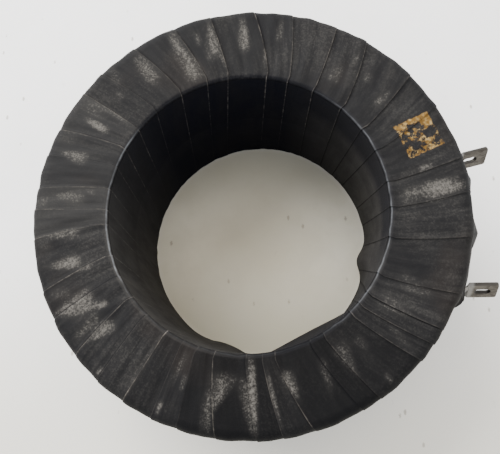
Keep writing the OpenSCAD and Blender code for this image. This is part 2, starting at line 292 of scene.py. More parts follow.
@dataclass(frozen=True)
class PaintPatch:
    """Square patch of worn gold paint on the top: middle, turn in degrees and half side, in millimetres.

    ragged is how far noise moves the outline, inner and outer are where the paint starts to last better towards
    its sides, and side_kept is how much better.
    """

    centre: Place
    turn: float = 0.0
    half_side: float = 9.6
    ragged: float = 2.2
    inner: float = 5.0
    outer: float = 9.0
    side_kept: float = 0.09
    gold: Colour = (0.115, 0.062, 0.014)
    light: Colour = (0.24, 0.165, 0.068)

    def over(self, g: TapeGraph, colour: Socket) -> Socket:
        """Lays the patch over a colour.

        The outline is where the larger of |x| and |y| about the middle, plus noise, passes the half side. Inside it
        the paint is left where a finer noise is high.

        Args:
            g: The tape's node tree.
            colour: The colour under the paint.

        Returns:
            The colour with the patch on it.
        """
        middle = tuple(c * MM for c in self.centre)
        offset = g.add("VectorMath", {0: g.place, 1: middle}, operation="SUBTRACT").outputs[0]
        inputs = {"Vector": offset, "Rotation": (0.0, 0.0, -math.radians(self.turn)), "Scale": (1 / MM, 1 / MM, 0.0)}
        turned = g.add("Mapping", inputs).outputs[0]
        sides = g.add("SeparateXYZ", {0: g.add("VectorMath", {0: turned}, operation="ABSOLUTE").outputs[0]})
        away = g.math("MAXIMUM", sides.outputs[0], sides.outputs[1])
        outline = g.plus(away, g.times(g.noise(g.place, 420.0, 4.0, 0.7), self.ragged))
        inside = g.step(outline, self.half_side + 0.7, self.half_side + 1.4, 1.0, 0.0)
        lasting = g.plus(g.noise(g.place, 150.0, 5.0, 0.72), g.times(g.streaks, 0.3),
                         g.step(away, self.inner, self.outer, 0.0, self.side_kept))
        paint = g.times(inside, g.step(lasting, 0.63, 0.72))
        gold = g.blend(g.step(g.noise(g.place, 330.0, 3.0, 0.6), 0.42, 0.66), self.gold, self.light)
        return g.blend(paint, colour, gold)


@dataclass(frozen=True)
class TapeFinish:
    """Black lapped tape: satin, dusty in grains, with thin light threads and painted shadows along its cut edges.

    It also has painted light and shade on the window's wall, painted shade under the upper rim and on the flap,
    and a painted highlight round the window's upper rim.
    """

    patch: PaintPatch
    black: Colour = (0.0062, 0.0062, 0.0070)
    worn: Colour = (0.0150, 0.0146, 0.0146)
    brown: Colour = (0.021, 0.0165, 0.0140)
    dark_lap: Colour = (0.0022, 0.0022, 0.0026)
    grey_lap: Colour = (0.030, 0.029, 0.028)
    # The window wall's two colours paint light and shade: a lit grey, and a bluish black where it is shaded.
    wall: Colour = (0.074, 0.070, 0.065)
    shaded_wall: Colour = (0.0040, 0.0048, 0.0095)
    smudge: Colour = (0.012, 0.0115, 0.012)
    # Painted shade under the window's upper rim and on the flap under the second terminal.
    shade_black: Colour = (0.003, 0.003, 0.0035)
    dust: Colour = (0.100, 0.094, 0.085)
    # Painted shadow just before each next lap.
    edge_shade: Colour = (0.0025, 0.0025, 0.003)
    thread: Colour = (0.080, 0.072, 0.062)
    wall_thread: Colour = (0.170, 0.155, 0.140)
    lint: Colour = (0.45, 0.44, 0.41)
    # Painted highlight round the window's upper rim.
    rim_highlight: Colour = (0.185, 0.197, 0.210)

    def bare(self, g: TapeGraph) -> Socket:
        """Colours the bare tape: black, worn to grey along it, brown in places, and lighter or darker lap by lap.

        Args:
            g: The tape's node tree.

        Returns:
            The tape's own colour.
        """
        wear = g.step(g.weighted((g.patches, 0.55), (g.streaks, 0.45)), 0.38, 0.66)
        colour = g.blend(wear, self.black, self.worn)
        browned = g.step(g.noise(g.place, 17.0, 3.0, 0.5), 0.5, 0.72)
        colour = g.blend(g.times(browned, 0.5), colour, self.brown)
        tone = g.number("tone")
        colour = g.blend(g.step(tone, 0.0, 0.55, 0.92, 0.0), colour, self.dark_lap)
        return g.blend(g.step(tone, 0.5, 1.0, 0.0, 0.35), colour, self.grey_lap)

    def lining(self, g: TapeGraph, colour: Socket) -> Socket:
        """Paints shade and light on the window's wall, from bluish black to smudged grey, and shade under the rims.

        Args:
            g: The tape's node tree.
            colour: The tape's own colour.

        Returns:
            The colour with the wall's on it.
        """
        wall = g.number("wall")
        # Painted light and shade on the window's wall, from bluish black in shade to lit grey.
        colour = g.blend(g.times(wall, 0.8), colour, g.blend(g.number("wall_lit"), self.shaded_wall, self.wall))
        smudged = g.step(g.noise(g.stretched(g.along, (1.0, 0.35, 1.0)), 70.0, 5.0, 0.65), 0.36, 0.66)
        colour = g.blend(g.times(wall, smudged, 0.38), colour, self.smudge)
        # Painted shade under the upper rim and on the flap.
        return g.blend(g.times(g.number("painted_shade"), 0.75), colour, self.shade_black)

    def dusty(self, g: TapeGraph) -> Socket:
        """Works out how much dust lies on the tape.

        A scuff is grains, which are where specks plus dust pass a limit, over a soft film. The rest of the top has
        a thin haze of the same specks.

        Args:
            g: The tape's node tree.

        Returns:
            The share of dust.
        """
        dust = g.number("dust")
        speck = g.weighted((g.step(g.clumps, 0.30, 0.70), 0.40), (g.step(g.grain, 0.30, 0.70), 0.38),
                           (g.step(g.streaks, 0.34, 0.66), 0.22))
        grains = g.step(g.plus(speck, g.times(dust, 0.60)), 0.62, 1.30)
        grains = g.times(grains, g.step(dust, 0.02, 0.30), 0.62)
        film = g.times(dust, g.plus(g.times(speck, 0.40), 0.10))
        haze = g.times(g.step(speck, 0.35, 0.95), g.step(g.patches, 0.36, 0.68, 0.02, 0.20),
                       g.step(g.number("tone"), 0.0, 0.5, 0.3, 1.0), g.number("facing_up"))
        return g.math("MAXIMUM", g.plus(grains, film), haze)

    def edges(self, g: TapeGraph, colour: Socket) -> Socket:
        """Draws the cut edges: a painted shadow just before the next lap and a light thread on the edge itself.

        Args:
            g: The tape's node tree.
            colour: The colour under the lines.

        Returns:
            The colour with the lines.
        """
        to_next = g.plus(g.number("to_next"), g.times(g.broken, 0.9))
        # Painted shadow beside the step onto the next lap.
        shade = g.times(g.step(to_next, 0.5, 1.7, 1.0, 0.0), g.number("shadow"), 0.9)
        colour = g.blend(shade, colour, self.edge_shade)
        from_edge = g.plus(g.number("from_edge"), g.times(g.broken, 0.7))
        line = g.times(g.step(from_edge, 0.45, 1.05, 1.0, 0.0), g.step(g.broken, 0.36, 0.60, 1.0, 0.25),
                       g.number("light"), g.step(g.noise(g.place, 60.0, 3.0, 0.6), 0.36, 0.62, 0.35, 1.0))
        return g.blend(line, colour, g.blend(g.number("wall"), self.thread, self.wall_thread))

    def lint_and_highlight(self, g: TapeGraph, colour: Socket) -> Socket:
        """Adds a few specks of lint on the top and a painted highlight round the window's upper rim.

        Args:
            g: The tape's node tree.
            colour: The colour under them.

        Returns:
            The colour with both.
        """
        distance, chance = g.cells(g.place, 62.0)
        rare = g.step(chance, 0.955, 0.96)
        lint = g.times(g.step(distance, 0.03, 0.055, 1.0, 0.0), rare, g.number("facing_up"))
        colour = g.blend(lint, colour, self.lint)
        # Painted highlight along the upper rim, broken by noise.
        rim = g.times(g.number("rim"), g.step(g.noise(g.place, 70.0, 4.0, 0.7), 0.36, 0.66, 0.3, 1.0))
        return g.blend(rim, colour, self.rim_highlight)

    def material(self) -> bpy.types.Material:
        """Builds the tape's material, layer on layer, from its point numbers, its own map and the place on it.

        Returns:
            The material.
        """
        g = TapeGraph("black_lapped_tape")
        dusty = self.dusty(g)
        colour = g.blend(dusty, self.lining(g, self.bare(g)), self.dust)
        colour = self.patch.over(g, self.lint_and_highlight(g, self.edges(g, colour)))
        rough = g.plus(g.step(g.patches, 0.3, 0.7, 0.50, 0.62), g.times(g.number("wall"), 0.3), g.times(dusty, 0.3),
                       g.times(g.grain, 0.12), g.times(g.number("painted_shade"), 0.5))
        normal = g.bump(g.streaks, 0.00020, 0.55)
        normal = g.bump(g.noise(g.place, 150.0, 4.0, 0.6), 0.0005, 0.4, normal)
        normal = g.bump(g.grain, 0.00007, 0.7, normal)
        return g.finish(Base_Color=colour, Roughness=rough, Normal=normal, Specular_IOR_Level=0.07)


@dataclass(frozen=True)
class TinnedStripFinish:
    """Dull tinned strip with brown tarnish in streaks, dark cut edges and a lighter bend at its root.

    face is the way that the wide sides look, and root is where along X, in metres, the light bend ends.
    """

    tin: Colour = (0.092, 0.082, 0.069)
    tarnish: Colour = (0.036, 0.028, 0.021)
    bend: Colour = (0.250, 0.245, 0.235)
    cut: Colour = (0.030, 0.026, 0.022)
    face: Place = (0.126, -0.885, 0.448)
    root: tuple[float, float] = (0.1178, 0.1196)

    def material(self) -> bpy.types.Material:
        """Builds the strip's material.

        Returns:
            The material.
        """
        g = Graph("tinned_strip")
        place = g.object_place()
        streaks = g.noise(g.stretched(place, (40.0, 150.0, 150.0)), 4.0, 5.0, 0.65)
        spots = g.noise(place, 420.0, 5.0, 0.7)
        fine = g.noise(place, 1800.0, 3.0, 0.6)
        stain = g.step(g.weighted((streaks, 0.6), (spots, 0.5)), 0.44, 0.72)
        colour = g.blend(stain, self.tin, self.tarnish)
        looks = g.add("VectorMath", {0: g.add("TexCoord").outputs["Normal"], 1: self.face}, operation="DOT_PRODUCT")
        flat = g.math("ABSOLUTE", looks.outputs["Value"])
        colour = g.blend(g.step(flat, 0.55, 0.9, 0.9, 0.0), colour, self.cut)
        near = g.step(g.add("SeparateXYZ", {0: place}).outputs[0], *self.root, 0.7, 0.0)
        colour = g.blend(near, colour, self.bend)
        rough = g.plus(g.step(stain, 0.0, 1.0, 0.36, 0.62), g.times(fine, 0.08))
        normal = g.bump(streaks, 0.0002, 0.5)
        normal = g.bump(fine, 0.00006, 0.6, normal)
        return g.finish(Base_Color=colour, Metallic=0.55, Roughness=rough, Normal=normal)


@dataclass(frozen=True)
class PlainLayerFinish:
    """Finish of a layer inside the ring: a ground colour, a second colour in patches and fine threads or turns.

    threads and turns are the scales of a weave and of rings round the axis, and 0 means none.
    """

    name: str
    ground: Colour
    second: Colour
    roughness: tuple[float, float] = (0.6, 0.85)
    metallic: float = 0.0
    threads: float = 0.0
    turns: float = 0.0
    relief: float = 0.0001
    unevenness: float = 0.3

    def material(self) -> bpy.types.Material:
        """Builds the layer's material.

        The colour is a blend of ground and second by noise, with waves of two directions for threads
        and rings round the axis for wound strip.

        Returns:
            The material.
        """
        g = Graph(self.name)
        place = g.object_place()
        height = g.noise(place, 160.0, 5.0, 0.65)
        share = g.step(height, 0.36, 0.66)
        if self.threads:
            inputs = {"Vector": place, "Scale": self.threads, "Distortion": 0.6}
            weave = g.times(*(g.add("TexWave", inputs, bands_direction=axis).outputs["Fac"] for axis in "XZ"))
            height = g.plus(g.times(height, self.unevenness), weave)
            share = g.times(share, g.step(weave, 0.0, 0.8, 0.4, 1.0))
        if self.turns:
            inputs = {"Vector": place, "Scale": self.turns, "Distortion": 0.15}
            rings = g.add("TexWave", inputs, wave_type="RINGS", rings_direction="Z").outputs["Fac"]
            height = g.plus(g.times(height, self.unevenness), rings)
            share = g.times(share, rings)
        colour = g.blend(share, self.ground, self.second)
        rough = g.step(height, 0.2, 0.8, *self.roughness)
        normal = g.bump(height, self.relief, 0.7)
        return g.finish(Base_Color=colour, Metallic=self.metallic, Roughness=rough, Normal=normal)


@dataclass(frozen=True)
class TileFinish:
    """Pale floor with a faint mottle and sparse dark specks, with warm painted shade to the front and inside the
    ring.

    front_fade, near_fade and far_fade are places along Y, and ring_r, middle_r and blur are radii, in metres.
    """

    pale: Colour = (0.92, 0.92, 0.92)
    grey: Colour = (0.87, 0.87, 0.865)
    # Warm painted shade: towards the front, inside the ring, in its middle and near its front and back walls.
    front: Colour = (0.69, 0.67, 0.60)
    inside: Colour = (0.62, 0.585, 0.475)
    middle: Colour = (0.43, 0.395, 0.295)
    near: Colour = (0.33, 0.31, 0.23)
    stain: Colour = (0.38, 0.34, 0.24)
    mark: Colour = (0.25, 0.21, 0.16)
    front_fade: tuple[float, float] = (-0.17, 0.05)
    near_fade: tuple[float, float] = (-0.068, 0.0)
    far_fade: tuple[float, float] = (0.02, 0.06)
    ring_r: float = 0.076
    middle_r: float = 0.062
    blur: float = 0.006

    def material(self) -> bpy.types.Material:
        """Builds the floor's material.

        Returns:
            The material.
        """
        g = Graph("pale_floor")
        place = g.object_place()
        forward = g.add("SeparateXYZ", {0: place}).outputs[1]
        mottle = g.step(g.noise(place, 9.0, 5.0, 0.6), 0.35, 0.7)
        cloud = g.step(g.noise(place, 42.0, 4.0, 0.6), 0.38, 0.66)
        colour = g.blend(mottle, self.pale, self.grey)
        # Painted shade towards the front.
        colour = g.blend(g.step(forward, *self.front_fade, 1.0, 0.0), colour, self.front)
        away = g.add("VectorMath", {0: place}, operation="LENGTH").outputs["Value"]
        # Painted shade inside the ring, deepest in its middle and near its front and back walls, with faint stains.
        within = g.blend(g.step(away, 0.0, self.middle_r), self.middle, self.inside)
        within = g.blend(g.step(forward, *self.near_fade, 0.9, 0.0), within, self.near)
        within = g.blend(g.step(forward, *self.far_fade, 0.0, 0.6), within, self.near)
        within = g.blend(g.times(cloud, 0.22), within, self.stain)
        # The painted shade covers the ring's inside, with a soft edge.
        ring = g.step(away, self.ring_r - self.blur, self.ring_r + self.blur, 0.9, 0.0)
        colour = g.blend(ring, colour, within)
        drawn = g.stretched(place, (1.0, 0.55, 1.0))
        distance, chance = g.cells(drawn, 95.0)
        ragged = g.plus(distance, g.times(g.noise(place, 1400.0), 0.16))
        specks = g.times(g.step(ragged, 0.13, 0.20, 1.0, 0.0), g.step(chance, 0.48, 0.50), 0.62)
        faint = g.times(g.step(g.noise(drawn, 130.0, 5.0, 0.65), 0.64, 0.78), 0.26)
        colour = g.blend(g.math("MAXIMUM", specks, faint), colour, self.mark)
        return g.finish(Base_Color=colour, Roughness=0.5, Specular_IOR_Level=0.3)


# ------------------------------------------------------------------ ring


@dataclass
class RingSection:
    """Rounded rectangle that the tape follows, in the plane of radius and height (millimetres).

    The rims are the roundings of the lower outer, upper outer, upper window and lower window corners.
    """

    window_r: float
    outer_r: float
    height: float
    rims: tuple[float, float, float, float] = (6.0, 6.0, 3.0, 3.0)

    def __post_init__(self) -> None:
        """Lays out the nine pieces.

        They are half the underside, a rim, the side, a rim, the top, a rim, the window's wall, a rim and the other
        half of the underside.
        """
        a, b, h = self.window_r, self.outer_r, self.height
        low, high, lip, foot = self.rims
        mid, quarter = (a + b) / 2, math.pi / 2
        self.lengths = np.array([b - low - mid, low * quarter, h - low - high, high * quarter, b - a - high - lip,
                                 lip * quarter, h - lip - foot, foot * quarter, mid - a - foot])
        self.anchor = np.array([(mid, 0), (b - low, low), (b, low), (b - high, h - high), (b - high, h),
                                (a + lip, h - lip), (a, h - lip), (a + foot, foot), (a + foot, 0)])
        self.angle = np.radians([0, -90, 90, 0, 180, 90, -90, 180, 0])
        self.arc = np.array([0, low, 0, high, 0, lip, 0, foot, 0])
        self.ends = np.concatenate([[0], np.cumsum(self.lengths)])

    @property
    def length(self) -> float:
        """Whole way round the section."""
        return float(self.ends[-1])

    def stations(self, counts: Sequence[int]) -> np.ndarray:
        """Returns distances along the section with the given number of steps in each piece."""
        steps = [np.linspace(self.ends[k], self.ends[k + 1], n, endpoint=False) for k, n in enumerate(counts)]
        return np.concatenate(steps)

    def trace(self, distance: np.ndarray) -> tuple[np.ndarray, np.ndarray, np.ndarray, np.ndarray]:
        """Walks the section.

        On a straight piece the point is start + direction * way; on a rim it is centre + rim * (cos a, sin a)
        with a growing by way / rim.

        Args:
            distance: Ways from the middle of the underside.

        Returns:
            Radius, height, and the outward direction's radius and height parts.
        """
        k = np.clip(np.searchsorted(self.ends, distance, side="right") - 1, 0, len(self.lengths) - 1)
        way = distance - self.ends[k]
        rim = self.arc[k]
        curved = rim > 0
        turn = self.angle[k] + np.where(curved, way / np.where(curved, rim, 1.0), 0.0)
        cos, sin = np.cos(turn), np.sin(turn)
        radius = self.anchor[k, 0] + np.where(curved, rim, way) * cos
        height = self.anchor[k, 1] + np.where(curved, rim, way) * sin
        return radius, height, np.where(curved, cos, sin), np.where(curved, sin, -cos)


@dataclass(frozen=True)
class LapEdge:
    """The edge of one lap.

    It has its angles at the outer rim and the window, how light its thread shows, how dark the painted shadow before
    it is, the lap's tone from black to grey, and how many degrees further on it reaches the foot of the window.
    """

    outer: float
    window: float
    light: float
    dark: float = 0.25
    tone: float = 0.5
    drift: float = 10.5


@dataclass
class Lapping:
    """How the tape is laid: 36 laps with uneven edges that lean over the top and run on down the window.

    The rim and foot shares are where the outer rim, the window's upper rim and its foot lie along the section.
    foot_scatter is how many degrees the foot strays from its place, and the underside's weights are those of the
    foot before and the outer rim after in the angle where one lap ends and the next begins.
    """

    edges: tuple[LapEdge, ...] = tuple(LapEdge(*row) for row in (
        (3.8, -0.5, 0.15, 0.2, 0.5, 11.5), (12.8, 9.8, 0.35, 0.3, 0.5, 11), (28.5, 23.5, 0.0, 0.1, 0.5, 13.5),
        (39.7, 34.1, 0.5, 0.2, 0.5), (55.3, 46.6, 0.6, 0.2, 0.45, 7.5), (64.0, 60.5, 0.8, 0.2, 0.5, 6),
        (77.2, 71.9, 1.0, 0.2, 0.5, 6.5), (88.4, 80.9, 0.7, 0.3, 0.35, 8), (100.7, 97.1, 0.8, 0.3, 0.34),
        (111.9, 106.1, 0.4, 0.2, 0.34), (124.5, 118.1, 0.6, 0.2, 0.36), (136.0, 131.0, 0.2, 0.2, 0.38),
        (143.1, 141.7, 0.5, 0.3, 0.72), (155.6, 151.6, 0.6, 0.3, 0.72), (163.5, 160.0, 0.1, 0.2, 0.72),
        (173.1, 169.8, 0.5, 0.2, 1.0), (178.8, 178.6, 0.5, 0.2, 1.0), (187.2, 184.7, 0.5, 0.3, 0.5),
        (201.9, 197.8, 0.8, 0.5, 0.5), (209.6, 207.0, 0.0, 1.0, 0.5), (220.6, 216.9, 0.7, 0.8, 0.45),
        (229.2, 226.5, 0.15, 0.9, 0.4), (237.2, 236.8, 1.0, 0.3, 0.25), (245.5, 244.5, 0.2, 0.5, 0.35),
        (252.5, 250.5, 0.1, 0.3, 0.15), (262.5, 257.4, 0.7, 0.6, 0.0), (272.5, 269.5, 0.2, 0.7, 0.05),
        (279.0, 275.6, 0.5, 0.4, 0.2), (287.0, 280.4, 0.6, 0.5, 0.1), (299.5, 294.5, 0.0, 1.0, 0.0),
        (304.5, 300.3, 0.3, 0.4, 0.18), (318.0, 313.5, 0.4, 0.3, 0.32), (323.0, 318.4, 0.3, 0.5, 0.36),
        (327.2, 323.6, 0.25, 1.0, 0.5, 17.5), (337.2, 332.2, 0.4, 0.4, 0.5, 14), (352.0, 347.4, 0.35, 0.6, 0.5, 12)))
    foot_scatter: float = 0.8
    foot_seed: float = 20.0
    outer_rim_share: float = 0.42
    window_rim_share: float = 0.55
    foot_share: float = 0.92
    underside_weights: tuple[float, float] = (0.55, 0.45)

    @property
    def laps(self) -> int:
        """Number of laps."""
        return len(self.edges)

    def scatter(self, lap: np.ndarray, seed: float) -> np.ndarray:
        """Returns a repeatable number between -1 and 1 a lap: 0.6 sin(137.5 k + seed) + 0.4 sin(61 k + 2.3 seed)."""
        k = np.mod(lap, self.laps)
        return 0.6 * np.sin(np.radians(137.5 * k + seed)) + 0.4 * np.sin(np.radians(61 * k + 2.3 * seed))

    def value(self, lap: np.ndarray, key: str) -> np.ndarray:
        """Returns one of the edges' numbers for each lap."""
        table = np.array([getattr(edge, key) for edge in self.edges])
        return table[np.mod(lap, self.laps).astype(int)]

    def edge(self, turn: np.ndarray) -> np.ndarray:
        """Finds where the tape's edge lies.

        Within a lap the angle goes straight between five places: the middle of the underside, the outer rim, the
        window's upper rim, its foot and the middle of the underside again, where the next lap takes over.

        Args:
            turn: Turns laid so far; the whole part is the lap and the rest the share of the section.

        Returns:
            Angles round the ring, in degrees.
        """
        lap = np.floor(turn)
        share = turn - lap

        def whole(k: np.ndarray, key: str) -> np.ndarray:
            """Returns an edge's angle with the full turns added."""
            return self.value(k, key) + 360 * np.floor(k / self.laps)

        def foot(k: np.ndarray) -> np.ndarray:
            """Returns the angle at the foot of the window."""
            return whole(k, "window") + self.value(k, "drift") + self.foot_scatter * self.scatter(k, self.foot_seed)

        def start(k: np.ndarray) -> np.ndarray:
            """Returns the angle in the middle of the underside, between the foot before and the outer rim after."""
            return self.underside_weights[0] * foot(k - 1) + self.underside_weights[1] * whole(k, "outer")

        shares = (0.0, self.outer_rim_share, self.window_rim_share, self.foot_share, 1.0)
        angles = (start(lap), whole(lap, "outer"), whole(lap, "window"), foot(lap), start(lap + 1))
        result = np.zeros_like(share)
        for k in range(len(shares) - 1):
            way = (share - shares[k]) / (shares[k + 1] - shares[k])
            inside = (way >= 0) & (way <= 1)
            result = np.where(inside, angles[k] + (angles[k + 1] - angles[k]) * way, result)
        return result


@dataclass(frozen=True)
class Swelling:
    """Bulge of the tape over the terminals' roots, highest over the two soldered joints."""

    size: float = 8.5
    around: Knots = Knots((-26.9, -21.4, -8.8, -4.8, -1.3, 5.7, 9.2, 11.7, 14.4, 16.9, 22.4),
                          (0, 0.66, 0.70, 1, 0.76, 0.76, 1, 0.82, 0.68, 0.66, 0))
    up: Knots = Knots((52, 67, 75.7, 92, 99.5, 110, 116), (0, 0.5, 1, 1, 0.45, 0.12, 0))

    def lift(self, azimuth: np.ndarray, height: np.ndarray) -> np.ndarray:
        """Returns how far the tape stands out, as size * around(azimuth) * up(height)."""
        return self.size * self.around.at(wrapped(azimuth)) * self.up.at(height)


@dataclass(frozen=True)
class Flap:
    """The loose flap under the second terminal: angle and half width in degrees, middle height, reach up, lift."""

    azimuth: float = -23.6
    width: float = 2.2
    height: float = 92.0
    reach: float = 13.0
    lift: float = 3.0

    def cover(self, azimuth: np.ndarray, height: np.ndarray) -> np.ndarray:
        """Returns how much of the flap stands off at each place, as exp(-x*x - y*y)."""
        side = wrapped(azimuth - self.azimuth) / self.width
        return np.exp(-side * side - ((height - self.height) / self.reach) ** 2)


@dataclass(frozen=True)
class Slack:
    """A place in the window where the tape hangs off the wall.

    It has its angle and half width in degrees, its middle height and reach up, its depth, and how many degrees it
    leans over the whole height.
    """

    azimuth: float
    width: float
    height: float
    reach: float
    depth: float
    lean: float = 0.0

    def hang(self, azimuth: np.ndarray, height: np.ndarray, full: float) -> np.ndarray:
        """Returns millimetres off the wall, as depth * exp(-x*x) * exp(-y*y) about a middle that leans."""
        centre = self.azimuth - self.lean * (height - self.height) / full
        return self.depth * bell(wrapped(azimuth - centre) / self.width) * bell((height - self.height) / self.reach)


@dataclass(frozen=True)
class Chord:
    """A place in the window where a lap spans straight between two angles, up to a height."""

    start: float
    end: float
    reach: float
    share: float = 1.0

    def hang(self, azimuth: np.ndarray, height: np.ndarray, radius: float) -> np.ndarray:
        """Works out how far the chord stands off the wall: radius * (1 - cos(half) / cos(azimuth - middle)).

        Args:
            azimuth: Angles round the ring.
            height: Heights over the underside.
            radius: The window's radius.

        Returns:
            Millimetres off the wall.
        """
        middle, half = (self.start + self.end) / 2, (self.end - self.start) / 2
        away = np.clip(np.abs(wrapped(azimuth - middle)), 0, half)
        stand = radius * (1 - math.cos(math.radians(half)) / np.cos(np.radians(away)))
        return self.share * stand * bell(height / self.reach)


@dataclass(frozen=True)
class Creases:
    """Creases within a lap: narrow bells whose place, slant and height are scattered from lap to lap.

    Each crease has three seeds, for its place, slant and height. Places and widths are shares of the lap, and walls
    says how much of the height is left on the side and in the window. A lap of full_lap degrees has creases of full
    height, and others have more or less, between the two sizes. On the top they run out towards both rims as
    sin(pi * across) ** arch.
    """

    seeds: tuple[tuple[int, int, int], ...] = ((31, 11, 5), (78, 82, 34), (125, 153, 63), (172, 224, 92))
    height: float = 0.26
    slant: float = 0.55
    first_place: float = 0.2
    place_range: float = 0.6
    top_width: float = 0.085
    wall_width: float = 0.1
    walls: tuple[float, float] = (0.35, 0.5)
    full_lap: float = 10.0
    sizes: tuple[float, float] = (0.3, 1.2)
    arch: float = 0.6


@dataclass(frozen=True)
class Scuff:
    """A dusty patch on the top that widens from its outer tip to its base nearer the window.

    Angles in degrees and radii in millimetres: tip, base, half width at the base and at the tip, strength. The ends
    and sides each fade at a share of the length or the half width, over a share of it.
    """

    tip_angle: float
    tip_radius: float
    base_angle: float
    base_radius: float
    width: float
    tip_width: float
    strength: float
    tip_fade: tuple[float, float] = (0.05, 0.12)
    base_fade: tuple[float, float] = (0.97, 0.08)
    side_fade: tuple[float, float] = (0.9, 0.27)

    def cover(self, azimuth: np.ndarray, radius: np.ndarray) -> np.ndarray:
        """Works out the patch's strength, which fades over its sides and beyond its ends.

        Args:
            azimuth: Angles round the ring.
            radius: Distances from the axis.

        Returns:
            The strength at each place.
        """
        run = (self.tip_radius - radius) / (self.tip_radius - self.base_radius)
        middle = self.tip_angle + (self.base_angle - self.tip_angle) * run
        half = self.tip_width + (self.width - self.tip_width) * unit(run)
        side = np.abs(wrapped(azimuth - middle)) / half
        ends = fade((self.tip_fade[0] - run) / self.tip_fade[1]) * fade((run - self.base_fade[0]) / self.base_fade[1])
        return self.strength * ends * fade((side - self.side_fade[0]) / self.side_fade[1])


@dataclass(frozen=True)
class Toning:
    """Where painted light and shade lie on the tape, and how its threads and dust show.

    The knots are angles round the ring from -180 to 180 degrees, but head_rise and thread_rise are heights, as
    upper_half is. wall_lit is painted light on the window's wall, with painted shade near its head, and wall_shadow
    its painted shadow lines; rim_lit is a painted highlight on the upper rim, with painted shade under it. The rim
    lines are an angle on the upper rim, from 0 on the wall to 90 on the top, and a half width. least_thread is how
    light the faintest thread in the window is, side_share how much of a lap's tone and painted shadow shows on the
    side, and side_light how much of its light line does. A dark edge's painted shadow shows as dark_gain times its
    number less dark_loss, and its line in the window grows by spread_gain times what it has over spread_from.
    flap_dim is how much painted shadow lies on the flap, and most_dust the most that lies anywhere.
    """

    # Painted shadow lines down the window's wall.
    wall_shadow: Knots = Knots((-100, -60, -45, 45, 70, 75), (0, 0.3, 1.0, 1.0, 0.6, 0.1))
    wall_threads: Knots = Knots((-180, -150, -60, 40, 55, 120, 180), (0.6, 0.5, 0.3, 0.15, 0.6, 0.6, 0.6))
    wall_lit: Knots = Knots((-180, -165, -150, -110, -75, -50, -10, 20, 48, 75, 135, 165, 180),
                            (0.65, 0.85, 1.0, 0.75, 0.15, 0.2, 0.65, 0.85, 0.5, 0.0, 0.0, 0.35, 0.65))
    # Painted shade near the head of the window's wall.
    wall_head_shade: Knots = Knots((-25, -8, 60, 90), (0, 0.7, 0.7, 0))
    # Where painted shade lies along the window's upper rim.
    rim_shade: Knots = Knots((-155, -143, -62, -42, 48, 68, 135, 150), (0, 1, 1, 0, 0, 0.85, 0.85, 0))
    # Painted highlight along the window's upper rim.
    rim_lit: Knots = Knots(
        (-180, -170, -157, -150, -140, -60, -48, -38, -25, 32, 46, 62, 140, 150, 165, 172, 180),
        (0.7, 1.0, 1.0, 0.3, 0.08, 0.05, 0.2, 0.32, 0.42, 0.38, 0.24, 0.02, 0.05, 0.6, 0.65, 0.35, 0.7))
    # Lines on the upper rim: a painted highlight, painted shade just under it, and a wider painted shade.
    lit_line: tuple[float, float] = (50.0, 8.0)
    under_rim_shade: tuple[float, float] = (20.0, 14.0)
    rim_shade_line: tuple[float, float] = (42.0, 24.0)
    upper_half: float = 60.0
    head_rise: Knots = Knots((78, 92), (0, 1))
    thread_rise: Knots = Knots((44, 95), (0.15, 1))
    least_thread: float = 0.35
    side_share: float = 0.3
    side_light: float = 0.5
    dark_gain: float = 1.2
    dark_loss: float = 0.2
    spread_gain: float = 1.4
    spread_from: float = 0.4
    flap_dim: float = 0.85
    most_dust: float = 1.1

    def upper_rim(self, line: tuple[float, float], facing: np.ndarray, height: np.ndarray) -> np.ndarray:
        """Returns a line along the window's upper rim, as a bell over the angle that the surface faces."""
        return bell((facing - line[0]) / line[1]) * (height > self.upper_half)


